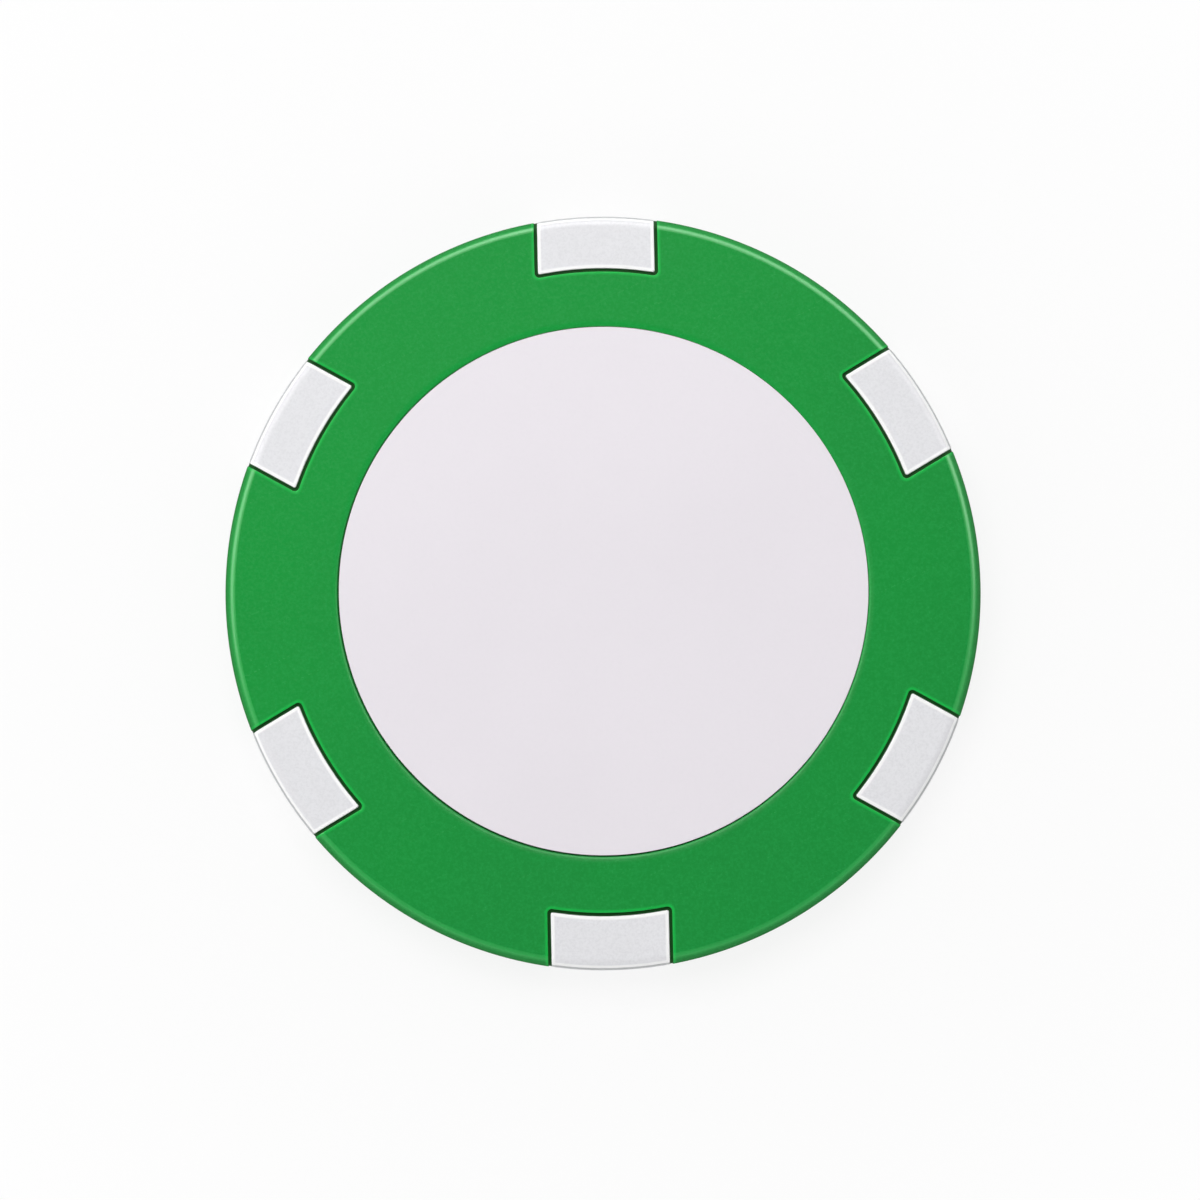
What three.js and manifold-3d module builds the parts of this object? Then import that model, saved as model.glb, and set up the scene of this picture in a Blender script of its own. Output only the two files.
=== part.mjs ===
// Poker chip ball marker: a two-shot moulded plastic chip, weighted by a steel slug, with a round
// label in a shallow recess on each face. Millimetres, +Z up. The chip lies on its back face, and
// the origin is the middle of the circle that it stands on.
import * as THREE from "three";
import { mergeVertices } from "three/addons/utils/BufferGeometryUtils.js";
import Module from "manifold-3d";

// Chip
const chipDiameter = 40;
const chipThickness = 3.3;
const rimRounding = 0.6; // radius along both edges of the rim
const faceRingWidth = 6; // coloured ring, from the label's recess to the rim
const recessLipRounding = 0.2; // radius along the edge of the label's recess

// Label, in three layers on each face
const adhesiveThickness = 0.05;
const filmThickness = 0.1;
const laminateThickness = 0.05;
const labelSetback = 0.05; // the label's top lies this far below the face
const labelClearance = 0.1; // between the label's edge and the wall of its recess

// White core, the first shot: a boss round the slug, a tongue round the boss, and the edge spots
const spotCount = 6;
const spotWidth = 6.2;
const spotDepth = 2.9; // from the rim inwards
const spotBevel = 0.2;
const neckShoulder = 1; // a spot is this much wider than its neck on each side
const tongueReach = 1.9; // from the boss outwards
const tongueCover = 0.6; // coloured plastic between the tongue and the label's recess
const labelLedge = 0.5; // coloured plastic that reaches under the label's edge
const seamGap = 0.16; // open seam between the two shots

// Steel slug, and the holes left by the mould's pins, which hold it in the first shot
const slugCover = 0.4; // core plastic over each face of the slug
const slugWall = 0.65; // core plastic round the slug's edge
const slugClearance = 0.1;
const slugChamfer = 0.25;
const pinHoleCount = 3; // on each face
const pinHoleDiameter = 2;
const pinHoleInset = 4.5; // from the slug's edge to the middle of a hole

// Facets
const roundSegments = 72;
const holeSegments = 16;
const filletDivisions = 2; // a quarter round has twice as many facets
const spotArcSegments = 6;
const overshoot = 1; // a cut reaches this far past what it opens

// Sizes that follow
const chipRadius = chipDiameter / 2;
const recessRadius = chipRadius - faceRingWidth;
const recessDepth = adhesiveThickness + filmThickness + laminateThickness + labelSetback;
const labelRadius = recessRadius - labelClearance;
const rimRadius = Math.min(rimRounding, chipThickness / 2); // a fillet is no larger than its wall
const lipRadius = Math.min(recessLipRounding, recessDepth);
const boreRadius = labelRadius - labelLedge;
const bossRadius = boreRadius - seamGap;
const bossBottom = recessDepth;
const bossTop = chipThickness - recessDepth;
const tongueRadius = bossRadius + tongueReach;
const tongueBottom = bossBottom + tongueCover;
const tongueTop = bossTop - tongueCover;
const spotInnerRadius = chipRadius - spotDepth;
const neckWidth = spotWidth - 2 * neckShoulder;
const slugPocketRadius = bossRadius - slugWall;
const slugRadius = slugPocketRadius - slugClearance;
const slugBottom = bossBottom + slugCover;
const slugTop = bossTop - slugCover;
const slugMiddle = (slugBottom + slugTop) / 2;
const pinCircleRadius = slugRadius - pinHoleInset;

const quarter = Math.PI / 2;
const wasm = await Module();
wasm.setup();

// A closed geometry as a solid that can be joined and cut.
function solidOf(geometry) {
  const bare = new THREE.BufferGeometry();
  bare.setAttribute("position", geometry.getAttribute("position"));
  bare.setIndex(geometry.getIndex());
  const merged = mergeVertices(bare);
  const triVerts = [];
  for (let first = 0; first < merged.index.count; first += 3) {
    const [a, b, c] = [0, 1, 2].map((corner) => merged.index.getX(first + corner));
    if (a !== b && b !== c && c !== a) triVerts.push(a, b, c);
  }
  const vertProperties = merged.getAttribute("position").array;
  const mesh = new wasm.Mesh({ numProp: 3, vertProperties, triVerts: new Uint32Array(triVerts) });
  return new wasm.Manifold(mesh);
}

// A solid as a geometry with flat facets.
function geometryOf(solid) {
  const { vertProperties, triVerts } = solid.getMesh();
  const shared = new THREE.BufferGeometry();
  shared.setAttribute("position", new THREE.BufferAttribute(vertProperties, 3));
  shared.setIndex(new THREE.BufferAttribute(triVerts, 1));
  const faceted = shared.toNonIndexed();
  faceted.computeVertexNormals();
  return faceted;
}

function joined(solids) {
  return solids.reduce((whole, solid) => whole.add(solid));
}

// A profile of radius and height, drawn anticlockwise and turned round the Z axis.
function turned(profile) {
  const lathe = new THREE.LatheGeometry(profile.getPoints(filletDivisions), roundSegments);
  return lathe.rotateX(quarter);
}

// An upright round disc between two heights.
function disc(radius, bottom, top, segments = roundSegments) {
  const cylinder = new THREE.CylinderGeometry(radius, radius, top - bottom, segments);
  cylinder.rotateX(quarter);
  return cylinder.translate(0, 0, (bottom + top) / 2);
}

// Copies of a geometry that lies along +X, evenly round the Z axis from a first angle.
function aroundAxis(geometry, count, firstAngle) {
  const step = (2 * Math.PI) / count;
  return Array.from({ length: count }, (_, i) => solidOf(geometry.clone().rotateZ(firstAngle + i * step)));
}

// One copy for each edge spot, the first of them on +Y.
function atSpots(geometry) {
  return aroundAxis(geometry, spotCount, quarter);
}

// The rim's outline, from the edge of the back face up to the edge of the front face.
function addRim(profile) {
  const centre = chipRadius - rimRadius;
  profile.lineTo(centre, 0);
  profile.absarc(centre, rimRadius, rimRadius, -quarter, 0);
  profile.absarc(centre, chipThickness - rimRadius, rimRadius, 0, quarter);
}

// The whole chip as one blank, with flat faces.
function chipBlank() {
  const profile = new THREE.Path();
  profile.moveTo(0, 0);
  addRim(profile);
  profile.lineTo(0, chipThickness);
  return turned(profile);
}

// The coloured ring: rim, faces, round lips of the recesses, ledges under the label edges, and the
// groove inside that closes over the core's tongue.
function colouredRing() {
  const grooveRadius = tongueRadius + seamGap;
  const lipCentre = recessRadius + lipRadius;
  const profile = new THREE.Path();
  profile.moveTo(boreRadius, bossBottom);
  profile.lineTo(recessRadius, bossBottom);
  profile.absarc(lipCentre, lipRadius, lipRadius, 2 * quarter, 3 * quarter);
  addRim(profile);
  profile.absarc(lipCentre, chipThickness - lipRadius, lipRadius, quarter, 2 * quarter);
  profile.lineTo(recessRadius, bossTop);
  profile.lineTo(boreRadius, bossTop);
  profile.lineTo(boreRadius, tongueTop);
  profile.lineTo(grooveRadius, tongueTop);
  profile.lineTo(grooveRadius, tongueBottom);
  profile.lineTo(boreRadius, tongueBottom);
  profile.lineTo(boreRadius, bossBottom);
  return turned(profile);
}

// The core's middle: the boss round the slug, and the tongue round the boss.
function coreMiddle() {
  const profile = new THREE.Path();
  profile.moveTo(0, bossBottom);
  profile.lineTo(bossRadius, bossBottom);
  profile.lineTo(bossRadius, tongueBottom);
  profile.lineTo(tongueRadius, tongueBottom);
  profile.lineTo(tongueRadius, tongueTop);
  profile.lineTo(bossRadius, tongueTop);
  profile.lineTo(bossRadius, bossTop);
  profile.lineTo(0, bossTop);
  return turned(profile);
}

// An edge spot's outline along +X: straight sides, and an inner edge that follows the rim. It runs
// past the rim, where the blank ends it. The gap grows it to the outline of its pocket.
function spotOutline(gap) {
  const halfWidth = spotWidth / 2 + gap;
  const inner = spotInnerRadius - gap;
  const corner = Math.asin(halfWidth / inner);
  const outline = new THREE.Shape();
  outline.moveTo(chipRadius + overshoot, -halfWidth);
  outline.lineTo(chipRadius + overshoot, halfWidth);
  outline.absarc(0, 0, inner, corner, -corner, true);
  outline.closePath();
  return outline;
}

// A spot as a bar through the chip, with a bevel round both of its faces.
function spotBar() {
  const bar = new THREE.ExtrudeGeometry(spotOutline(0), {
    depth: chipThickness - 2 * spotBevel,
    curveSegments: spotArcSegments,
    bevelThickness: spotBevel,
    bevelSize: spotBevel,
    bevelOffset: -spotBevel,
    bevelSegments: 1,
  });
  return bar.translate(0, 0, spotBevel);
}

// The pocket in the coloured ring that a spot fills.
function spotPocket() {
  const pocket = new THREE.ExtrudeGeometry(spotOutline(seamGap), {
    depth: chipThickness + 2 * overshoot,
    curveSegments: spotArcSegments,
    bevelEnabled: false,
  });
  return pocket.translate(0, 0, -overshoot);
}

// The neck that carries a spot, along +X, from inside the tongue to inside the spot. The gap grows
// its sides to the tunnel that it runs in.
function spotNeck(gap) {
  const from = bossRadius;
  const to = spotInnerRadius + spotDepth / 2;
  const neck = new THREE.BoxGeometry(to - from, neckWidth + 2 * gap, tongueTop - tongueBottom);
  return neck.translate((from + to) / 2, 0, (tongueBottom + tongueTop) / 2);
}

// The holes of the pins that hold the slug from one face.
function pinHoles(bottom, top, firstAngle) {
  const hole = disc(pinHoleDiameter / 2, bottom, top, holeSegments).translate(pinCircleRadius, 0, 0);
  return aroundAxis(hole, pinHoleCount, firstAngle);
}

// First shot: boss, tongue, necks and spots in one piece, moulded round the slug. The pin holes of
// the two faces lie between each other.
function whiteCore() {
  const spots = joined(atSpots(spotBar())).intersect(solidOf(chipBlank()));
  const middle = joined([solidOf(coreMiddle()), ...atSpots(spotNeck(0))]);
  const slugPocket = solidOf(disc(slugPocketRadius, slugBottom, slugTop));
  const frontHoles = pinHoles(slugMiddle, bossTop + overshoot, 0);
  const backHoles = pinHoles(bossBottom - overshoot, slugMiddle, Math.PI / pinHoleCount);
  return middle.add(spots).subtract(joined([slugPocket, ...frontHoles, ...backHoles]));
}

// Second shot: the coloured ring, moulded over the core's tongue and necks and round its spots.
function greenBody() {
  const room = joined([...atSpots(spotPocket()), ...atSpots(spotNeck(seamGap))]);
  return solidOf(colouredRing()).subtract(room);
}

// A punched steel disc with its edges broken.
function weightSlug() {
  const profile = new THREE.Path();
  profile.moveTo(0, slugBottom);
  profile.lineTo(slugRadius - slugChamfer, slugBottom);
  profile.lineTo(slugRadius, slugBottom + slugChamfer);
  profile.lineTo(slugRadius, slugTop - slugChamfer);
  profile.lineTo(slugRadius - slugChamfer, slugTop);
  profile.lineTo(0, slugTop);
  return solidOf(turned(profile));
}

// Surfaces
const greenPlastic = new THREE.MeshStandardMaterial({ color: 0x269648, roughness: 0.42, metalness: 0 });
const whitePlastic = new THREE.MeshStandardMaterial({ color: 0xe4e4e7, roughness: 0.45, metalness: 0 });
const steel = new THREE.MeshStandardMaterial({ color: 0x9a9b9d, roughness: 0.4, metalness: 1 });
const adhesive = new THREE.MeshStandardMaterial({ color: 0xe6dfc4, roughness: 0.7, metalness: 0 });
const printFilm = new THREE.MeshStandardMaterial({ color: 0xe8e3e9, roughness: 0.6, metalness: 0 });
const clearLaminate = new THREE.MeshStandardMaterial({
  color: 0xe8e3e9,
  roughness: 0.35,
  metalness: 0,
  transparent: true,
  opacity: 0.35,
});

function piece(name, geometry, material) {
  const mesh = new THREE.Mesh(geometry, material);
  mesh.name = name;
  return mesh;
}

// One face's label, built up from the floor of its recess.
function label(face) {
  const layers = [
    ["adhesive", adhesiveThickness, adhesive],
    ["label_film", filmThickness, printFilm],
    ["label_laminate", laminateThickness, clearLaminate],
  ];
  const stack = new THREE.Group();
  let height = 0;
  for (const [layer, thickness, material] of layers) {
    stack.add(piece(`${face}_${layer}`, disc(labelRadius, height, height + thickness), material));
    height += thickness;
  }
  return stack;
}

const frontLabel = label("front");
frontLabel.position.z = bossTop;

const backLabel = label("back");
backLabel.position.z = bossBottom;
backLabel.rotation.x = Math.PI;

const chip = new THREE.Group();
chip.add(
  piece("weight_slug", geometryOf(weightSlug()), steel),
  piece("white_core", geometryOf(whiteCore()), whitePlastic),
  piece("green_body", geometryOf(greenBody()), greenPlastic),
  frontLabel,
  backLabel,
);

export default chip;
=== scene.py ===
"""Looks of the poker chip ball marker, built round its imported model. Lengths are in millimetres until
a mesh, a material, a light or the camera is made. One edge spot's sector, 60 degrees wide, is shaped
along +X, and a node tree repeats it round the chip."""

import math

import bpy
import numpy as np
from mathutils import Matrix, Quaternion, Vector


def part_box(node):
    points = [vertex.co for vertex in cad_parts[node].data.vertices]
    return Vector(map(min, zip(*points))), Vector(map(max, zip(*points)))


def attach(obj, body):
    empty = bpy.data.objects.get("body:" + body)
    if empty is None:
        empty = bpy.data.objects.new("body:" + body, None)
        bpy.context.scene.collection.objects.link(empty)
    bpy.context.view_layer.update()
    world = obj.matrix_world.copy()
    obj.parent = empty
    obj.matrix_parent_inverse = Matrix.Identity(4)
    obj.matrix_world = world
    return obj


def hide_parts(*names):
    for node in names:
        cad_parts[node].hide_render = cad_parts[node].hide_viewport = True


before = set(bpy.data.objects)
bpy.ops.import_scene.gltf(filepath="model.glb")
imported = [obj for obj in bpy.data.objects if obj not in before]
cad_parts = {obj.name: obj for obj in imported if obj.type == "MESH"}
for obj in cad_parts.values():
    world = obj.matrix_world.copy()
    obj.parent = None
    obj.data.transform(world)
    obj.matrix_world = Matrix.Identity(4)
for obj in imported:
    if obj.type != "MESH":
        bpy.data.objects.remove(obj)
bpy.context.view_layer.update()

MM = 0.001


def top_of(node):
    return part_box(node)[1] / MM


def foot_of(node):
    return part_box(node)[0] / MM


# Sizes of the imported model. The chip is the same on both faces, so heights are given for the front.
CHIP_RADIUS = top_of("green_body").x
THICKNESS = top_of("green_body").z
LABEL_RADIUS = top_of("front_label_film").x
LABEL_FOOT = foot_of("front_label_film").z
LABEL_TOP = top_of("front_label_laminate").z
RECESS_FLOOR = foot_of("front_adhesive").z
SLUG_TOP = top_of("weight_slug").z
SLUG_RADIUS = top_of("weight_slug").x

# Sizes that the model's boxes don't give.
SPOT_COUNT = 6
SPOT_WIDTH = 6.2
SPOT_DEPTH = 2.9
SEAM = 0.16
NECK_SHOULDER = 1.0
TONGUE_REACH = 1.9
TONGUE_COVER = 0.6
LABEL_LEDGE = 0.5
LABEL_CLEARANCE = 0.1
SLUG_CLEARANCE = 0.1
RIM_ROUNDING = 0.6

# Fine shapes of the moulding. HOLD is the strip that keeps a face flat beside a rounding. CORNER_BLEND
# says how far past a notch's corner its rounding starts to fade into the ring, and where it is gone.
SPOT_CORNER = 0.13
CORNER_BLEND = (0.3, 1.3)
SPOT_EDGE = 0.08
SEAM_EDGE = 0.07
SEAM_DEPTH = 0.15
SEAM_DEPTH_RIM = 0.04
RIM_EDGE_SHARE = 0.45
SEAM_SLIT = 0.01
LIP_WIDTH = 0.35
LIP_DROP = 0.12
LABEL_EDGE = 0.015
LABEL_SPREAD = 0.05
FRONT_LABEL_SHIFT = (0.032, 0.028, 0)
BACK_LABEL_SHIFT = (-0.032, 0.014, 0)
RIM_DRAFT = 0.035
PARTING_HEIGHT = 0.015
PARTING_WIDTH = 0.12
HOLD = 0.03

# How finely the shapes are cut. A corner's cuts are shares of its radius, the hard angle is in degrees,
# and the weld works in metres, as Blender does.
EDGE_STEPS = 6
RIM_STEPS = 12
WALL_STEPS = 5
RIDGE_STEPS = 4
SPOT_STEPS = 5
RING_STEPS = 4
LIP_STEPS = 8
STRETCH_STEPS = 14
SHOULDER_STEPS = 2
CORNER_CUTS = (0.3, 0.55, 0.8, 1.0)
NECK_STEPS = 8
HUB_STEPS = 8
LABEL_STEPS = 6
LABEL_EDGE_STEPS = 5
LABEL_TURNS = 30
HARD_ANGLE = 40
WELD = 1e-6

# Bands along an edge that the materials tint: a painted highlight along the edges, painted shade at the
# seams' foot and in the label's recess, a darker parting line, the matt rim with its painted shade, and a
# painted highlight over the rim's polished shoulder and the recess's lip. A border is full up to its first
# width and gone past its second. The rim's bands go by how far its skin has turned from the face, nothing,
# to the wall, one.
SPOT_BORDER = (0.14, 0.23)
RING_BORDER = (0.09, 0.2)
RECESS_SHADE = 0.6
PARTING_DARKENING = 0.35
SEAM_SHADE_SHARE = 0.3
RIM_MATT_AND_SHADE_FROM = 0.5
POLISH_AND_HIGHLIGHT = (0.03, 0.16, 0.4, 0.54)
LIP_POLISH_AND_HIGHLIGHT = 0.1

# Painted light falloff: the green is painted lighter along one angle, toward the upper left, standing in for
# light that falls off from there.
PAINTED_FALLOFF_ANGLE = 118
PAINTED_FALLOFF_REACH = 32

# Where the noise of a scratch starts to show, how soft its edge is, and how far an amount of one brings
# the start down.
SCRATCH_START = 0.72
SCRATCH_EDGE = 0.08
SCRATCH_SPREAD = 0.1

# Sizes that follow.
HALF_PITCH = math.pi / SPOT_COUNT
RECESS_RADIUS = LABEL_RADIUS + LABEL_CLEARANCE
BORE_RADIUS = LABEL_RADIUS - LABEL_LEDGE
BOSS_RADIUS = BORE_RADIUS - SEAM
TONGUE_RADIUS = BOSS_RADIUS + TONGUE_REACH
TONGUE_TOP = RECESS_FLOOR - TONGUE_COVER
SPOT_HALF = SPOT_WIDTH / 2
SPOT_INNER = CHIP_RADIUS - SPOT_DEPTH
NECK_HALF = SPOT_HALF - NECK_SHOULDER
NOTCH_HALF = SPOT_HALF + SEAM
NOTCH_INNER = SPOT_INNER - SEAM
CORNER_SIDE = SPOT_HALF - SPOT_CORNER
CORNER_RADIUS = SPOT_INNER + SPOT_CORNER
NOTCH_CORNER = SPOT_CORNER + SEAM
SLIT_CORNER = SPOT_CORNER + SEAM_SLIT
CORNER_FADE = [NOTCH_CORNER + past for past in CORNER_BLEND]
WALL_RADIUS = CHIP_RADIUS - RIM_DRAFT - PARTING_HEIGHT
FACE_RADIUS = WALL_RADIUS - RIM_ROUNDING


# Rows of a section: radius, height, and the outward normal in both.


def flat_rows(radii, height):
    return np.array([(radius, height, 0.0, 1.0) for radius in radii])


def arc_rows(centre, radius, first, last, steps):
    """Rows round a rounding, from one angle to another in degrees."""
    turn = np.radians(np.linspace(first, last, steps + 1))
    outward = np.column_stack([np.cos(turn), np.sin(turn)])
    return np.hstack([np.array(centre) + radius * outward, outward])


def edge_steps(rounding):
    """Distances from an edge at which its quarter round is cut, and one that holds the face flat."""
    turn = np.linspace(0, math.pi / 2, EDGE_STEPS + 1)
    return np.append(rounding * (1 - np.cos(turn)), rounding + HOLD)


def fall(rows, distance, rounding):
    """How far a skin has sunk at a distance from its rounded edge. The rim's wall has a share of that."""
    inside = np.clip(rounding - distance, 0, rounding)
    drop = rounding - np.sqrt(rounding**2 - inside**2)
    return drop * (1 - (1 - RIM_EDGE_SHARE) * rows[:, None, 2])


def flipped(rows):
    """The same rows on the back."""
    return rows * (1, -1, 1, -1) + (0, THICKNESS, 0, 0)


def with_back(rows):
    """Front rows down to the middle of the chip, and the same on the back."""
    return np.vstack([rows, flipped(rows[::-1])[1:]])


def wall_rows():
    """The rim's upright wall down to the parting line, which stands out as a fine ridge."""
    top = THICKNESS - RIM_ROUNDING
    middle = THICKNESS / 2
    plain = np.linspace(top, middle + PARTING_WIDTH / 2, WALL_STEPS + 1)[1:]
    ridge = np.linspace(middle + PARTING_WIDTH / 2, middle, RIDGE_STEPS + 1)[1:]
    height = np.append(plain, ridge)
    draft = RIM_DRAFT * (top - height) / (top - middle)
    swell = np.clip(1 - 2 * (height - middle) / PARTING_WIDTH, 0, 1)
    radius = WALL_RADIUS + draft + PARTING_HEIGHT * swell**2 * (3 - 2 * swell)
    return np.column_stack([radius, height, np.ones_like(height), np.zeros_like(height)])


def skin_rows(inner, edge):
    """The chip's outer skin from an inner edge on the front, over the rim, to the same on the back."""
    near = inner + np.append(edge, SPOT_BORDER)
    across = np.linspace(near[-1], FACE_RADIUS - HOLD, SPOT_STEPS + 1)[1:]
    face = flat_rows(np.append(near, across), THICKNESS)
    rim = arc_rows((FACE_RADIUS, THICKNESS - RIM_ROUNDING), RIM_ROUNDING, 90, 0, RIM_STEPS)
    return with_back(np.vstack([face, rim, wall_rows()]))


# Columns run across a sector. A column keeps its distance from the spot's middle line, and its share
# of the way to the middle of the next plain stretch of ring.


def columns_of(sides, shares=0.0):
    sides = np.asarray(sides, float)
    return np.column_stack([sides, np.broadcast_to(shares, sides.shape)])


def mirrored(columns):
    return columns[::-1] * (-1, 1)


def round_corner(radius, side, share):
    """Rounds the inner corners of a spot in plan, and those of its notch, about the same middle: a square
    corner becomes a quarter circle, and the change fades out into the ring."""
    across = np.clip(np.abs(side) - CORNER_SIDE, 0, None)
    along = np.clip(CORNER_RADIUS - radius, 0, None)
    reach = np.maximum(np.maximum(across, along), HOLD)
    strength = (1 - share) * np.interp(reach, CORNER_FADE, (1, 0))
    inwards = strength * across * (1 - np.sqrt(1 - (along / reach) ** 2 / 2))
    outwards = strength * along * (1 - np.sqrt(1 - (across / reach) ** 2 / 2))
    return radius + outwards, side - np.copysign(inwards, side)


def turned(radius, angle, height):
    """Points at a radius, at an angle about the chip's axis and at a height."""
    parts = np.broadcast_arrays(radius * np.cos(angle), radius * np.sin(angle), height)
    return np.stack(parts, axis=-1)


def placed(rows, columns, sunk=0.0):
    """Points of rows crossed with columns, moved in along each row's normal by what has sunk."""
    radius = rows[:, None, 0] - rows[:, None, 2] * sunk
    height = rows[:, None, 1] - rows[:, None, 3] * sunk
    side = columns[None, :, 0]
    share = columns[None, :, 1]
    radius, side = round_corner(radius, side, share)
    angle = (1 - share) * np.arcsin(side / radius) + share * np.copysign(HALF_PITCH, side)
    return turned(radius, angle, height)


def spokes(section, angles):
    """Points of a section of radii and heights, turned to several angles."""
    radius, height = np.array(section, float).T[:, :, None]
    return turned(radius, angles, height)


class Patchwork:
    """A mesh put together from sheets of points. A sheet faces outwards where its rows run out over the
    front, down the rim and in over the back, and its columns run anticlockwise; facing -1 turns it. Each
    point carries its tints: a painted highlight near an edge, painted shade deep in a seam or a darker
    parting line, the matt rim with its painted shade, or the polished rounding with its painted highlight."""

    TINTS = ("edge", "seam", "rim", "polish")

    def __init__(self):
        self.points = []
        self.faces = []
        self.tints = {name: [] for name in self.TINTS}

    def add(self, points, tints):
        """Takes in points with their tints, and gives the points' numbers."""
        first = sum(len(part) for part in self.points)
        shape = points.shape[:-1]
        self.points.append(points.reshape(-1, 3))
        for name, parts in self.tints.items():
            parts.append(np.broadcast_to(tints.get(name, 0.0), shape).ravel())
        return first + np.arange(np.prod(shape)).reshape(shape)

    def sheet(self, points, hole=None, facing=1, **tints):
        """Rows and columns of four-sided faces. The hole, a pair of slices, is left open."""
        index = self.add(points, tints)
        kept = np.ones((index.shape[0] - 1, index.shape[1] - 1), bool)
        if hole:
            kept[hole] = False
        corners = [index[:-1, :-1], index[1:, :-1], index[1:, 1:], index[:-1, 1:]]
        quads = np.stack([corner[kept] for corner in corners], axis=-1)
        self.faces += quads[:, ::facing].tolist()

    def outline(self, points, facing=1, **tints):
        """One flat face within its outline."""
        self.faces.append(self.add(points, tints)[::facing].tolist())

    def mesh(self, name):
        mesh = bpy.data.meshes.new(name)
        mesh.from_pydata(np.vstack(self.points) * MM, [], self.faces)
        for tint, parts in self.tints.items():
            layer = mesh.attributes.new(tint, "FLOAT", "POINT")
            layer.data.foreach_set("value", np.concatenate(parts).astype(np.float32))
        return mesh


def band(distance, border):
    """One along an edge, and nothing past its border."""
    return np.interp(distance, border, (1, 0))


def painted_seam_shade(distance, rounding):
    """One at the foot of a rounded edge, and nothing past a share of the way up: the painted shade going
    into a seam.
    """
    return np.clip(1 - distance / (SEAM_SHADE_SHARE * rounding), 0, 1)


def parting(rows):
    """Darker along the parting line."""
    away = np.abs(rows[:, None, 1] - THICKNESS / 2)
    return PARTING_DARKENING * np.clip(1 - 2 * away / PARTING_WIDTH, 0, 1)


def rim_matt_and_shade(rows):
    """One on the rim's wall, and nothing on the face: the rim is matt there, and painted shade darkens it.
    """
    return np.clip((rows[:, None, 2] - RIM_MATT_AND_SHADE_FROM) / (1 - RIM_MATT_AND_SHADE_FROM), 0, 1)


def polished(rows):
    """One over the shoulder of the rim's rounding, which hands and racks rub smooth, and less on the lip
    of the label's recess. The green also takes a painted highlight there."""
    lip = band(rows[:, None, 0] - RECESS_RADIUS, (LIP_WIDTH / 2, LIP_WIDTH))
    return np.maximum(np.interp(rows[:, None, 2], POLISH_AND_HIGHLIGHT, (0, 1, 1, 0)), LIP_POLISH_AND_HIGHLIGHT * lip)


def edge_skin(work, rows, columns, distance, border, rounding, facing=1):
    """An outer skin, rounded off along the edge from which each point's distance is given."""
    points = placed(rows, columns, fall(rows, distance, rounding))
    work.sheet(points, facing=facing, rim=rim_matt_and_shade(rows), polish=polished(rows), edge=band(distance, border),
               seam=np.maximum(painted_seam_shade(distance, rounding), parting(rows)))
    return points


def over(section):
    """The same section on the back, in the order in which it goes on from the front."""
    return [(radius, THICKNESS - height) for radius, height in reversed(section)]


def level_rows(section):
    """Rows of radii and heights whose points don't sink."""
    return np.array([(radius, height, 0, 0) for radius, height in section])


def middle_row(section):
    """The row of faces halfway along a section, at the middle of the chip's thickness."""
    half = len(section) // 2
    return slice(half - 1, half)


def spot_walls(work, sides, columns, inner, root_columns, root, neck, depth, facing):
    """The upright walls of a spot from a depth below its faces, and the neck that leaves through the inner
    one and runs to its root. They face out for the white spot, and in for the notch that takes it, and all
    take full painted seam shade."""
    high = TONGUE_TOP
    low = THICKNESS - TONGUE_TOP
    wall = level_rows([(inner, height) for height in (depth, low, high, THICKNESS - depth)])
    work.sheet(placed(wall, columns), (middle_row(wall), neck), facing, seam=1.0)
    within = slice(neck.start, neck.stop + 1)
    ends = []
    for height, side in ((high, facing), (low, -facing)):
        start = placed(level_rows([(root, height)]), root_columns[within])
        end = placed(level_rows([(inner, height)]), columns[within])
        ends.append(np.vstack([start, end]))
        work.sheet(ends[-1], facing=side, seam=1.0)
    for corner, turn in ((0, -1), (-1, 1)):
        # A side wall's edges on the front and on the back run from the inner wall to the parting line. Three
        # faces join them to the inner wall, one closes them at the parting line, and a sheet fills the rest.
        front = sides[corner][: len(sides[corner]) // 2 + 1]
        back = sides[corner][: len(front) - 2 : -1]
        foot, head = placed(wall, columns[[corner]])[1:-1, 0]
        faces = [(front[0], front[1], head), (front[1], back[1], foot, head), (back[1], back[0], foot),
                 (front[-2], front[-1], back[-2])]
        for face in faces:
            work.outline(np.array(face), facing * turn, seam=1.0)
        work.sheet(np.stack([back[1:-1], front[1:-1]]), facing=facing * turn, seam=1.0)
        flank = np.vstack([ends[0][:, corner], ends[1][::-1, corner]])
        work.outline(flank, facing * turn, seam=1.0)


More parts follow.
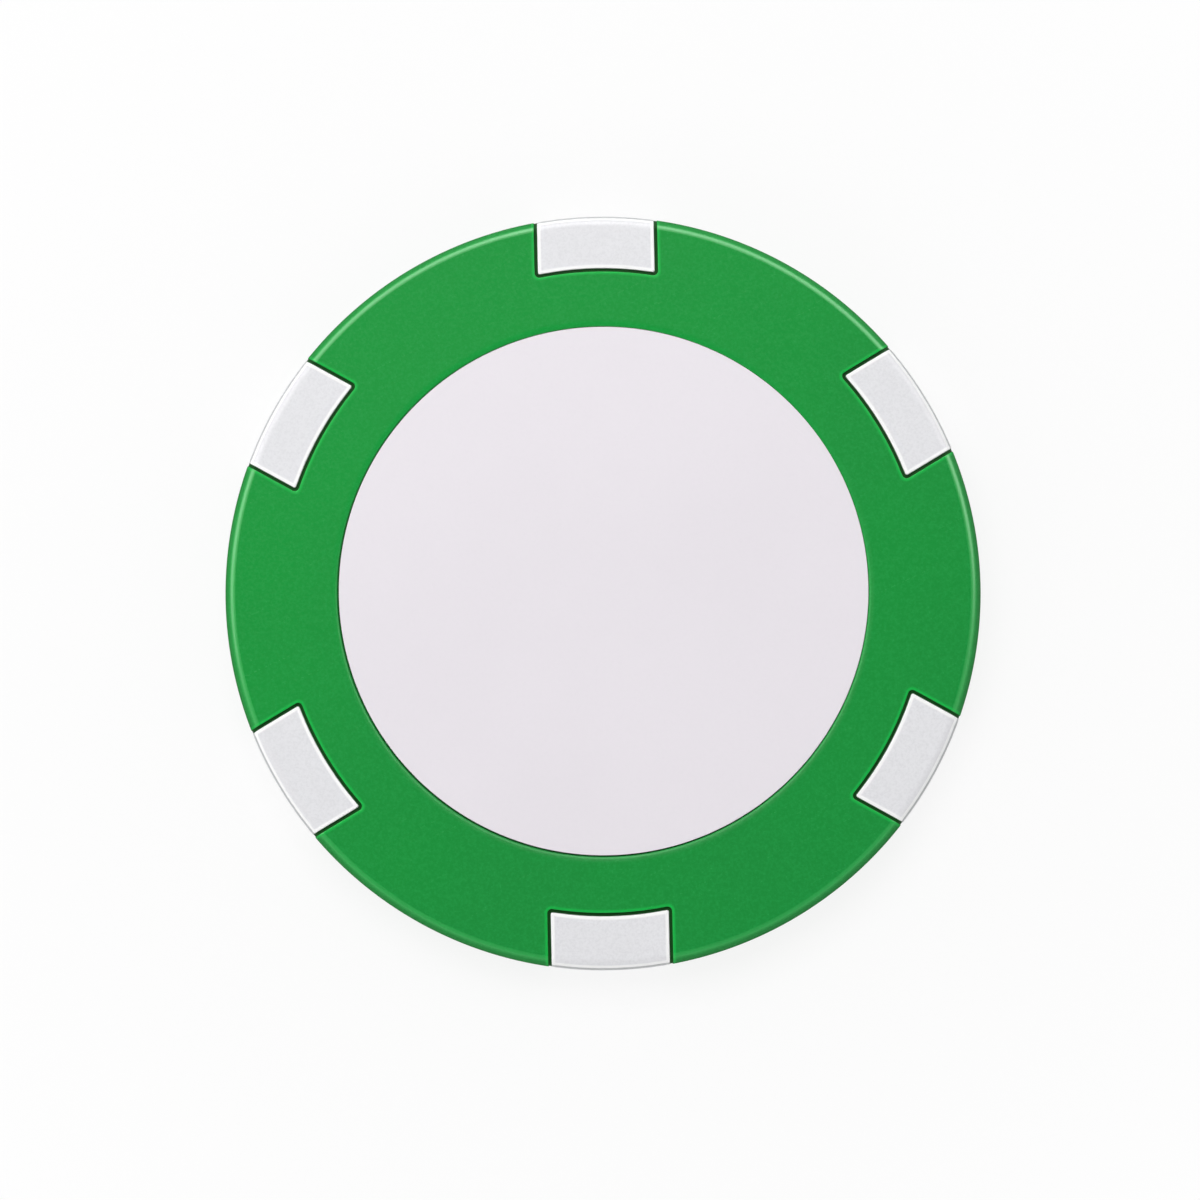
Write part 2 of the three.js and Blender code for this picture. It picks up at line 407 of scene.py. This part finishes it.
def ring_sector():
    """The green ring between the middles of two plain stretches, with the notch for one spot."""
    work = Patchwork()
    steps = edge_steps(SEAM_EDGE)
    near = np.append(steps, (RING_BORDER[1], RING_BORDER[1] + HOLD))
    mouth = NECK_HALF + SEAM
    bend = NOTCH_CORNER * np.array(CORNER_CUTS)
    shoulder = np.append(np.linspace(mouth, CORNER_SIDE, SHOULDER_STEPS + 1)[1:], CORNER_SIDE + bend)
    middle = np.linspace(-mouth, mouth, NECK_STEPS + 1)
    notch = columns_of(np.concatenate([-shoulder[::-1], middle, shoulder]))
    neck = slice(len(shoulder), len(shoulder) + NECK_STEPS)
    beside = columns_of(NOTCH_HALF + near)
    shares = np.linspace(0, 1, STRETCH_STEPS + 1)[1:]
    plain = columns_of(np.full(STRETCH_STEPS, beside[-1, 0]), shares)
    stretch = np.vstack([beside, plain])
    across = np.vstack([mirrored(stretch)[:-1], notch, stretch[1:]])

    def drawn_in(distance):
        """A distance from a corner's middle, at the foot of the seam: close to the spot in the corner."""
        return np.where(distance > 0, distance * SLIT_CORNER / NOTCH_CORNER, distance)

    def skin(rows, columns, facing=1):
        """The ring's outer skin, rounded off along the notch."""
        past_side = np.clip(np.abs(columns[None, :, 0]) - NOTCH_HALF, 0, None)
        past_inner = np.clip(NOTCH_INNER - rows[:, None, 0], 0, None)
        distance = np.maximum(past_side, past_inner)
        edge_skin(work, rows, columns, distance, RING_BORDER, SEAM_EDGE, facing)

    def seam_side(rows, side):
        """The seam along one side of the notch, closed at its foot against the spot, in full painted shade.
        """
        kept_in = np.column_stack([CORNER_RADIUS - drawn_in(CORNER_RADIUS - rows[:, 0]), rows[:, 1:]])
        edge = columns_of([side * NOTCH_HALF])
        depth = SEAM_DEPTH + (SEAM_DEPTH_RIM - SEAM_DEPTH) * rows[:, None, 2]
        floor = placed(kept_in, columns_of([side * (CORNER_SIDE + SLIT_CORNER)]), depth)
        strip = [floor, placed(rows, edge, depth), placed(rows, edge, fall(rows, 0, SEAM_EDGE))]
        work.sheet(np.hstack(strip[::side]), seam=1.0)
        return floor[:, 0]

    # Both faces from the recess's lip to the notch's inner edge, and the plain stretches over the rim.
    lip = arc_rows((0, 0), 1, 180, 90, LIP_STEPS) * (LIP_WIDTH, LIP_DROP, 0, 0)
    lip += (RECESS_RADIUS + LIP_WIDTH, THICKNESS - LIP_DROP, 0, 1)
    open_face = np.linspace(lip[-1, 0] + HOLD, NOTCH_INNER - near[-1], RING_STEPS + 1)[:-1]
    radii = np.append(open_face, NOTCH_INNER - near[::-1])
    front = np.vstack([lip, flat_rows(radii, THICKNESS)])
    skin(front, across)
    skin(flipped(front), across, -1)
    rim = skin_rows(NOTCH_INNER, steps)
    skin(rim, stretch)
    skin(rim, mirrored(stretch))

    # The seam round the notch, which closes at its foot against the spot, in full painted shade.
    foot = SPOT_INNER - SEAM_SLIT
    past_middle = np.abs(notch[:, 0]) - CORNER_SIDE
    closed = columns_of(np.copysign(CORNER_SIDE + drawn_in(past_middle), notch[:, 0]))
    sides = (seam_side(rim, -1), seam_side(rim, 1))
    drop = [(NOTCH_INNER, THICKNESS - SEAM_EDGE), (NOTCH_INNER, THICKNESS - SEAM_DEPTH)]
    inner_seam = np.vstack([placed(level_rows(drop), notch),
                            placed(level_rows([(foot, THICKNESS - SEAM_DEPTH)]), closed)])
    work.sheet(inner_seam, seam=1.0)
    work.sheet(inner_seam * (1, 1, -1) + (0, 0, THICKNESS), facing=-1, seam=1.0)

    # The labels' recesses, the bore between them with the groove for the core's tongue, and the notch.
    groove = TONGUE_RADIUS + SEAM
    bore = [(groove, TONGUE_TOP), (BORE_RADIUS, TONGUE_TOP), (BORE_RADIUS, RECESS_FLOOR),
            (RECESS_RADIUS, RECESS_FLOOR), (RECESS_RADIUS, THICKNESS - LIP_DROP)]
    first = len(stretch) - 1
    gate = slice(first + neck.start, first + neck.stop)
    inside = level_rows(over(bore) + bore)
    # The bore, the recess's floor and its walls take painted shade.
    work.sheet(placed(inside, across), (middle_row(inside), gate), seam=RECESS_SHADE)
    spot_walls(work, sides, columns=closed, inner=foot, root_columns=notch, root=groove, neck=neck,
               depth=SEAM_DEPTH, facing=-1)
    return work.mesh("ring_sector")


def core_sector():
    """The white core over the same sector: one edge spot, its neck, and a slice of the hub round the
    weight's pocket."""
    work = Patchwork()
    steps = edge_steps(SPOT_EDGE)
    near = SPOT_HALF - np.append(steps, SPOT_BORDER)
    middle = np.linspace(-NECK_HALF, NECK_HALF, NECK_STEPS + 1)
    columns = columns_of(np.concatenate([-near, middle, near[::-1]]))
    neck = slice(len(near), len(near) + NECK_STEPS)

    rows = skin_rows(SPOT_INNER, steps)
    past_side = SPOT_HALF - np.abs(columns[None, :, 0])
    past_inner = rows[:, None, 0] - SPOT_INNER
    distance = np.clip(np.minimum(past_side, past_inner), 0, None)
    points = edge_skin(work, rows, columns, distance, SPOT_BORDER, SPOT_EDGE)
    sides = (points[:, 0], points[:, -1])
    spot_walls(work, sides, columns=columns, inner=SPOT_INNER, root_columns=columns, root=TONGUE_RADIUS,
               neck=neck, depth=SPOT_EDGE, facing=1)

    # The hub with its tongue, which the neck grows from, and the weight's pocket.
    gate = np.arcsin(middle / TONGUE_RADIUS)
    beyond = np.linspace(gate[-1], HALF_PITCH, HUB_STEPS + 1)[1:]
    angles = np.concatenate([-beyond[::-1], gate, beyond])
    hub = [(0, RECESS_FLOOR), (BOSS_RADIUS, RECESS_FLOOR), (BOSS_RADIUS, TONGUE_TOP),
           (TONGUE_RADIUS, TONGUE_TOP)]
    outside = hub + over(hub)
    hole = (middle_row(outside), slice(HUB_STEPS, HUB_STEPS + NECK_STEPS))
    work.sheet(spokes(outside, angles), hole)
    pocket = [(SLUG_RADIUS + SLUG_CLEARANCE, SLUG_TOP), (0, SLUG_TOP)]
    work.sheet(spokes(over(pocket) + pocket, angles))
    return work.mesh("core_sector")


def label_sector(section, name):
    """A slice of a die-cut label, film and clear laminate together."""
    work = Patchwork()
    work.sheet(spokes(section, np.linspace(-HALF_PITCH, HALF_PITCH, LABEL_TURNS + 1)))
    return work.mesh(name)


def label_section():
    """The front label from its middle over its cut edge and back under it."""
    cut = LABEL_RADIUS + LABEL_SPREAD
    edge = arc_rows((cut - LABEL_EDGE, LABEL_TOP - LABEL_EDGE), LABEL_EDGE, 90, 0, LABEL_EDGE_STEPS)
    radii = np.linspace(0, cut - LABEL_EDGE - HOLD, LABEL_STEPS + 1)
    face = [(radius, LABEL_TOP) for radius in radii]
    return face + edge[:, :2].tolist() + [(cut, LABEL_FOOT), (0, LABEL_FOOT)]


# Node trees.


class Wire:
    """An output of a node. Arithmetic on it adds Math nodes to the same tree."""

    def __init__(self, graph, socket):
        self.graph = graph
        self.socket = socket

    def math(self, operation, *values):
        return self.graph.node("ShaderNodeMath", {"operation": operation}, dict(enumerate(values)))

    def __add__(self, other):
        return self.math("ADD", self, other)

    def __sub__(self, other):
        return self.math("SUBTRACT", self, other)

    def __rsub__(self, other):
        return self.math("SUBTRACT", other, self)

    def __mul__(self, other):
        return self.math("MULTIPLY", self, other)

    def __rtruediv__(self, other):
        return self.math("DIVIDE", other, self)

    __radd__ = __add__
    __rmul__ = __mul__

    def beside(self, output):
        """Another output of the same node."""
        return Wire(self.graph, self.socket.node.outputs[output])


class Graph:
    """A node tree under construction."""

    def __init__(self, tree):
        self.tree = tree
        tree.nodes.clear()

    def node(self, kind, settings=None, sockets=None, output=0):
        """Adds a node: first its settings, then the values and links of its sockets."""
        made = self.tree.nodes.new(kind)
        for name, value in (settings or {}).items():
            setattr(made, name, value)
        for name, value in (sockets or {}).items():
            if isinstance(value, Wire):
                self.tree.links.new(value.socket, made.inputs[name])
            else:
                made.inputs[name].default_value = value
        return Wire(self, made.outputs[output]) if made.outputs else None

    def blend(self, share, first, second):
        """A colour with a share of a second one over it. A Mix node's sockets have the same names for each
        kind of value, so a colour's go by number."""
        return self.node("ShaderNodeMix", {"data_type": "RGBA"}, {0: share, 6: first, 7: second}, 2)

    def noise(self, place, size, detail=2.0, roughness=0.5):
        """Cloudy noise whose lumps are about a size in millimetres."""
        sockets = {"Vector": place, "Scale": 1 / (size * MM), "Detail": detail, "Roughness": roughness}
        return self.node("ShaderNodeTexNoise", None, sockets)

    def between(self, value, low, high):
        """A value drawn out so that low is nothing and high is one."""
        sockets = {"Value": value, "From Min": low, "From Max": high}
        return self.node("ShaderNodeMapRange", {"interpolation_type": "SMOOTHSTEP"}, sockets)

    def hairlines(self, place, angle, length, width, amount):
        """Fine straight scratches along one angle. A larger amount covers more of the surface."""
        sockets = {"Vector": place, "Rotation": (0, 0, math.radians(angle)),
                   "Scale": (length * MM, width * MM, length * MM)}
        along = self.node("ShaderNodeMapping", {"vector_type": "TEXTURE"}, sockets)
        streak = self.node("ShaderNodeTexNoise", None, {"Vector": along, "Scale": 1.0, "Detail": 1.0})
        start = SCRATCH_START - SCRATCH_SPREAD * amount
        return self.between(streak, start, start + SCRATCH_EDGE)

    def along(self, place, angle, reach):
        """Rises by one over a reach in millimetres along one angle, through nothing in the middle."""
        turn = math.radians(angle)
        step = (math.cos(turn) / (reach * MM), math.sin(turn) / (reach * MM), 0)
        return self.node("ShaderNodeVectorMath", {"operation": "DOT_PRODUCT"}, {0: place, 1: step}, "Value")

    def tints(self):
        """The tints that a moulding's points carry."""
        named = [{"attribute_name": name} for name in Patchwork.TINTS]
        return [self.node("ShaderNodeAttribute", settings, None, "Fac") for settings in named]

    def bump(self, height):
        """A normal from a height in millimetres."""
        return self.node("ShaderNodeBump", None, {"Strength": 1.0, "Distance": MM, "Height": height})

    def surface(self, **sockets):
        named = {name.replace("_", " "): value for name, value in sockets.items()}
        shader = self.node("ShaderNodeBsdfPrincipled", None, named)
        self.node("ShaderNodeOutputMaterial", None, {"Surface": shader})


def material_graph(name):
    material = bpy.data.materials.new(name)
    material.use_nodes = True
    graph = Graph(material.node_tree)
    return material, graph, graph.node("ShaderNodeTexCoord", None, None, "Object")


def seen(red, green, blue):
    """A colour as a screen shows it, from 0 to 255, in the linear form that a shader takes."""
    linear = [part / 255 / 12.92 if part <= 10 else ((part / 255 + 0.055) / 1.055) ** 2.4
              for part in (red, green, blue)]
    return (*linear, 1.0)


def green_plastic():
    """Satin green moulding: pigment that is never quite even, with a painted light falloff that makes it
    lighter toward the upper left, a spark-eroded grain, soft waves from the mould, a painted highlight along
    the seams and on the rim's polished shoulder, painted shade at the seams' foot, and painted shade on the
    matt rim."""
    material, graph, place = material_graph("green_plastic")
    edge, seam, rim, polish = graph.tints()
    cloud = graph.between(graph.noise(place, 9, 3), 0.3, 0.7)
    painted_falloff = graph.along(place, PAINTED_FALLOFF_ANGLE, PAINTED_FALLOFF_REACH)
    grain = graph.noise(place, 0.14, 3, 0.6)
    wave = graph.noise(place, 1.1, 1)
    hairline = graph.hairlines(place, 24, 7, 0.05, 0.4)
    crossing = graph.hairlines(place, 103, 5, 0.04, 0.2)
    worn = hairline + crossing * 0.7
    # Random pigment clouds, with a painted light falloff that is lighter toward the upper left.
    colour = graph.blend(0.35 + painted_falloff + cloud * 0.3, seen(28, 141, 60), seen(20, 152, 59))
    colour = graph.blend(graph.between(grain, 0.35, 0.75) * 0.45, colour, seen(38, 162, 76))
    # Painted highlight: the rim's polished shoulder and a little of the recess's lip painted a lighter
    # green.
    colour = graph.blend(polish * 0.3, colour, seen(70, 205, 105))
    # Painted shade: the matt rim wall painted a darker green.
    colour = graph.blend(rim * 0.75, colour, seen(9, 104, 38))
    # Painted highlight: a lighter green band along the seams' edges, fainter on the rim.
    colour = graph.blend(edge * (0.7 - rim * 0.4), colour, seen(26, 190, 76))
    # Painted shade: near black green deep in the seams and the label's recess, and a darker parting line.
    colour = graph.blend(seam * 0.95, colour, seen(2, 62, 8))
    graph.surface(Base_Color=colour, Roughness=0.2 + grain * 0.1 + worn * 0.02 + seam * 0.3 + rim * 0.6,
                  Specular_IOR_Level=0.17, Coat_Weight=polish * (1 - seam), Coat_Roughness=0.3,
                  Normal=graph.bump((1 - polish * 0.7) * (grain * 0.004 + wave * 0.003) - worn * 0.001))
    return material


def white_plastic():
    """The white first shot, a shade cooler than the label, with a painted highlight along its moulded edges
    and the rim's shoulder, and painted shade on its rim and in its seams.
    """
    material, graph, place = material_graph("white_plastic")
    edge, seam, rim, polish = graph.tints()
    cloud = graph.between(graph.noise(place, 7, 3), 0.3, 0.7)
    grain = graph.noise(place, 0.13, 3, 0.6)
    wave = graph.noise(place, 0.9, 1)
    hairline = graph.hairlines(place, 61, 6, 0.05, 0.4)
    colour = graph.blend(cloud, seen(231, 231, 234), seen(234, 234, 237))
    colour = graph.blend(graph.between(grain, 0.35, 0.75) * 0.7, colour, seen(221, 221, 224))
    colour = graph.blend(hairline * 0.15, colour, seen(205, 206, 208))
    # Painted highlight: the spot's edges and the start of the rim's rounding painted near white.
    shoulder = graph.between(rim, 0.0, 0.2) * (1 - graph.between(rim, 0.45, 0.6))
    colour = graph.blend(edge + shoulder, colour, seen(254, 254, 254))
    # Painted shade: a grey band on the rim's rounding, fainter down the wall.
    painted_rim_shade = graph.between(rim, 0.5, 0.65) * (0.75 - graph.between(rim, 0.8, 0.92) * 0.6)
    colour = graph.blend(painted_rim_shade, colour, seen(172, 175, 175))
    # Painted shade: dark green deep in the seams, and a darker parting line.
    colour = graph.blend(seam * 0.8, colour, seen(40, 96, 50))
    graph.surface(Base_Color=colour, Roughness=0.25 + grain * 0.1 + seam * 0.3 + rim * 0.6,
                  Specular_IOR_Level=0.25, Coat_Weight=polish * (0.3 - seam * 0.3), Coat_Roughness=0.3,
                  Normal=graph.bump((1 - polish * 0.7) * (grain * 0.004 + wave * 0.003) - hairline * 0.001))
    return material


def label_film():
    """Bare print film under a clear satin laminate: a fine vinyl tooth, and the faint ripple of a label
    pressed down by hand."""
    material, graph, place = material_graph("label_film")
    fleck = graph.noise(place, 0.2, 4, 0.65)
    cloud = graph.between(graph.noise(place, 12, 2), 0.3, 0.7)
    ripple = graph.noise(place, 3.5, 1)
    hairline = graph.hairlines(place, 140, 8, 0.05, 0.3)
    colour = graph.blend(cloud, seen(233, 228, 234), seen(235, 230, 236))
    colour = graph.blend(graph.between(fleck, 0.45, 0.75) * 0.1, colour, seen(224, 219, 226))
    graph.surface(Base_Color=colour, Roughness=0.42 + fleck * 0.1, Specular_IOR_Level=0.25,
                  Coat_Weight=0.16 + fleck * 0.06 - hairline * 0.08, Coat_Roughness=0.2,
                  Normal=graph.bump(fleck * 0.002 + ripple * 0.003 - hairline * 0.001))
    return material


def label_adhesive():
    """Clear adhesive, slightly yellow, with the dust that its cut edge picks up."""
    material, graph, place = material_graph("label_adhesive")
    dust = graph.between(graph.noise(place, 0.4, 4, 0.7), 0.5, 0.75)
    string = graph.noise(place, 0.9, 2)
    colour = graph.blend(dust * 0.6, seen(229, 222, 196), seen(150, 146, 132))
    graph.surface(Base_Color=colour, Roughness=0.3 + dust * 0.35, Normal=graph.bump(string * 0.006))
    return material


def slug_steel():
    """Punched steel with a dull zinc plate: spangle, rolling lines and a few darker spots."""
    material, graph, place = material_graph("slug_steel")
    spangle = graph.node("ShaderNodeTexVoronoi", None, {"Vector": place, "Scale": 1 / (1.6 * MM)}, "Color")
    rolled = graph.hairlines(place, 0, 12, 0.06, 2.0)
    tone = graph.node("ShaderNodeSeparateColor", None, {"Color": spangle}, "Red")
    spot = graph.between(graph.noise(place, 2.2, 4, 0.7), 0.62, 0.75)
    colour = graph.blend(tone, seen(188, 190, 193), seen(206, 207, 209))
    colour = graph.blend(spot * 0.5, colour, seen(120, 116, 112))
    graph.surface(Base_Color=colour, Metallic=1.0, Roughness=0.34 + tone * 0.12 + spot * 0.2,
                  Normal=graph.bump(rolled * 0.003))
    return material


def repeat_tree():
    """A sector repeated round the chip's axis and welded into one skin."""
    tree = bpy.data.node_groups.new("Repeat round the chip", "GeometryNodeTree")
    graph = Graph(tree)
    kinds = {"Sector": "Object", "Count": "Int", "First Angle": "Float", "Weld Distance": "Float",
             "Material": "Material"}
    for name, kind in kinds.items():
        tree.interface.new_socket(name=name, in_out="INPUT", socket_type="NodeSocket" + kind)
    tree.interface.new_socket(name="Chip Piece", in_out="OUTPUT", socket_type="NodeSocketGeometry")
    inputs = graph.node("NodeGroupInput")
    given = {name: inputs.beside(name) for name in kinds}

    sector = graph.node("GeometryNodeObjectInfo", {"transform_space": "ORIGINAL"},
                        {"Object": given["Sector"]}, "Geometry")
    points = graph.node("GeometryNodePoints", None, {"Count": given["Count"]})
    index = graph.node("GeometryNodeInputIndex")
    turn = given["First Angle"] + index * (math.tau / given["Count"])
    euler = graph.node("ShaderNodeCombineXYZ", None, {"Z": turn})
    rotation = graph.node("FunctionNodeEulerToRotation", None, {"Euler": euler})
    placed_sectors = graph.node("GeometryNodeInstanceOnPoints", None,
                                {"Points": points, "Instance": sector, "Rotation": rotation})
    real = graph.node("GeometryNodeRealizeInstances", None, {"Geometry": placed_sectors})
    welded = graph.node("GeometryNodeMergeByDistance", None,
                        {"Geometry": real, "Distance": given["Weld Distance"]})
    smooth = graph.node("GeometryNodeSetShadeSmooth", None, {"Geometry": welded, "Shade Smooth": True})
    dressed = graph.node("GeometryNodeSetMaterial", None,
                         {"Geometry": smooth, "Material": given["Material"]})
    graph.node("NodeGroupOutput", None, {"Chip Piece": dressed})
    return tree


def linked(name, data):
    made = bpy.data.objects.new(name, data)
    bpy.context.scene.collection.objects.link(made)
    return made


def round_piece(name, tree, mesh, material, shift=(0, 0, 0)):
    """A chip piece from its sector, as a plain mesh with its hard edges marked, and shifted where it was
    put on a little off the middle."""
    sector = linked(name + "_sector", mesh)
    piece = linked(name, bpy.data.meshes.new(name))
    modifier = piece.modifiers.new("Repeat", "NODES")
    modifier.node_group = tree
    values = {"Sector": sector, "Count": SPOT_COUNT, "First Angle": math.pi / 2, "Weld Distance": WELD,
              "Material": material}
    for item in tree.interface.items_tree:
        if item.in_out == "INPUT":
            modifier[item.identifier] = values[item.name]
    depsgraph = bpy.context.evaluated_depsgraph_get()
    result = bpy.data.meshes.new_from_object(piece.evaluated_get(depsgraph), preserve_all_data_layers=True,
                                             depsgraph=depsgraph)
    piece.modifiers.remove(modifier)
    piece.data = result
    result.name = name
    result.transform(Matrix.Translation(Vector(shift) * MM))
    result.set_sharp_from_angle(angle=math.radians(HARD_ANGLE))
    bpy.data.objects.remove(sector)
    return piece


repeat = repeat_tree()
film = label_film()
front_slice = label_sector(label_section(), "front_sector")
back_slice = label_sector(over(label_section()), "back_sector")
green_ring = round_piece("green_ring", repeat, ring_sector(), green_plastic())
spotted_core = round_piece("spotted_core", repeat, core_sector(), white_plastic())
front_label = round_piece("front_label", repeat, front_slice, film, FRONT_LABEL_SHIFT)
back_label = round_piece("back_label", repeat, back_slice, film, BACK_LABEL_SHIFT)

for piece, slot, nodes in ((green_ring, "green_plastic", ["green_body"]),
                           (spotted_core, "white_plastic", ["white_core"]),
                           (front_label, "label_film", ["front_label_film", "front_label_laminate"]),
                           (back_label, "label_film", ["back_label_film", "back_label_laminate"])):
    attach(piece, "root")
    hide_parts(*nodes)

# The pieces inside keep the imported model's own meshes.
adhesive = label_adhesive()
hidden = {"front_adhesive": adhesive, "back_adhesive": adhesive, "weight_slug": slug_steel()}
for node, material in hidden.items():
    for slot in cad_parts[node].material_slots:
        slot.material = material


# Stage, lights and camera. Angles are in degrees, and pixels are those of the photograph. WALL_TOP and
# CEILING are heights on a globe of radius one, between which the studio's light fades.
FLOOR_WIDTH = 1200
FLOOR_DROP = 0.02
SHADOW_GLOW = 0.86
SHADOW_NEAR = 24
SHADOW_FAR = 60
WALL_LIGHT = 0.88
CEILING_LIGHT = 0.1
WALL_TOP = 0.45
CEILING = 0.75
KEY = dict(azimuth=112, elevation=64, distance=270, size=(220, 160), watts=0.49, shine=False)
LEFT_STRIP = dict(azimuth=136, elevation=45, distance=280, size=(400, 150), watts=0.7, fill=False)
RIGHT_STRIP = dict(azimuth=52, elevation=45, distance=280, size=(400, 150), watts=0.7, fill=False)
FRONT_FILL = dict(azimuth=240, elevation=30, distance=280, size=(300, 100), watts=0.13, shine=False)
LENS = 100
SENSOR = 36
ELEVATION = 86.5
CHIP_TURN = 1.2
IMAGE = 1200
OUTLINE_RADIUS = 378.5
OUTLINE_MIDDLE = (603, 591)


def background_rays(graph):
    """One for the rays that show the background: the camera's own, reflections and what glass lets by."""
    camera_ray = graph.node("ShaderNodeLightPath", None, None, "Is Camera Ray")
    return camera_ray + camera_ray.beside("Is Glossy Ray") + camera_ray.beside("Is Transmission Ray")


def floor_paper():
    """White paper that shows white, and keeps some of the chip's shadow close to it."""
    material, graph, place = material_graph("floor_paper")
    tooth = graph.noise(place, 0.6, 3)
    shade = graph.blend(tooth, seen(241, 241, 241), seen(243, 243, 243))
    paper = graph.node("ShaderNodeBsdfDiffuse", None, {"Color": shade})
    glow = graph.node("ShaderNodeEmission", None, {"Color": (1, 1, 1, 1), "Strength": 1.0})
    reach = graph.node("ShaderNodeVectorMath", {"operation": "LENGTH"}, {0: place}, "Value")
    share = SHADOW_GLOW + (1 - SHADOW_GLOW) * graph.between(reach, SHADOW_NEAR * MM, SHADOW_FAR * MM)
    shown = graph.node("ShaderNodeMixShader", None, {0: background_rays(graph) * share, 1: paper, 2: glow})
    graph.node("ShaderNodeOutputMaterial", None, {"Surface": shown})
    return material


def floor():
    mesh = bpy.data.meshes.new("floor")
    half = FLOOR_WIDTH * MM / 2
    drop = -FLOOR_DROP * MM
    corners = [(-half, -half, drop), (half, -half, drop), (half, half, drop), (-half, half, drop)]
    mesh.from_pydata(corners, [], [(0, 1, 2, 3)])
    mesh.materials.append(floor_paper())
    linked("floor", mesh)


def sky():
    """A pale studio all round, which lights the rim, under a dark ceiling that keeps the flat faces in
    full colour."""
    world = bpy.data.worlds.new("studio")
    bpy.context.scene.world = world
    world.use_nodes = True
    graph = Graph(world.node_tree)
    place = graph.node("ShaderNodeTexCoord", None, None, "Generated")
    height = graph.node("ShaderNodeSeparateXYZ", None, {"Vector": place}, "Z")
    walls = [(light, light, light, 1) for light in (WALL_LIGHT, CEILING_LIGHT)]
    tone = graph.blend(graph.between(height, WALL_TOP, CEILING), *walls)
    shown = graph.node("ShaderNodeBackground", None, {"Color": tone, "Strength": 1.0})
    graph.node("ShaderNodeOutputWorld", None, {"Surface": shown})


def softbox(name, azimuth, elevation, distance, size, watts, fill=True, shine=True):
    """A rectangular soft light that faces the chip's middle. It can be kept out of what surfaces
    scatter, or out of their shine."""
    data = bpy.data.lights.new(name, "AREA")
    data.shape = "RECTANGLE"
    data.size = size[0] * MM
    data.size_y = size[1] * MM
    data.energy = watts
    light = linked(name, data)
    light.visible_diffuse = fill
    light.visible_glossy = shine
    around = math.radians(azimuth)
    up = math.radians(elevation)
    back = Vector((math.cos(up) * math.cos(around), math.cos(up) * math.sin(around), math.sin(up)))
    light.location = back * distance * MM + Vector((0, 0, THICKNESS * MM))
    light.rotation_euler = back.to_track_quat("Z", "Y").to_euler()


def camera():
    """Square to the front face but for a few degrees, as in the photograph."""
    data = bpy.data.cameras.new("camera")
    data.lens = LENS
    data.sensor_width = SENSOR
    view = linked("camera", data)
    tilt = math.radians(ELEVATION)
    back = Vector((0, -math.cos(tilt), math.sin(tilt)))
    turn = back.to_track_quat("Z", "Y") @ Quaternion((0, 0, 1), math.radians(-CHIP_TURN))
    pixel = CHIP_RADIUS / OUTLINE_RADIUS
    middle = Vector((0, 0, THICKNESS - RIM_ROUNDING))
    middle -= turn @ Vector((OUTLINE_MIDDLE[0] - IMAGE / 2, IMAGE / 2 - OUTLINE_MIDDLE[1], 0)) * pixel
    view.location = (middle + back * IMAGE * pixel * LENS / SENSOR) * MM
    view.rotation_mode = "QUATERNION"
    view.rotation_quaternion = turn
    data.clip_start = MM
    bpy.context.scene.camera = view


floor()
sky()
softbox("key", **KEY)
softbox("left_strip", **LEFT_STRIP)
softbox("right_strip", **RIGHT_STRIP)
softbox("front_fill", **FRONT_FILL)
camera()
bpy.context.scene.view_settings.view_transform = "Standard"
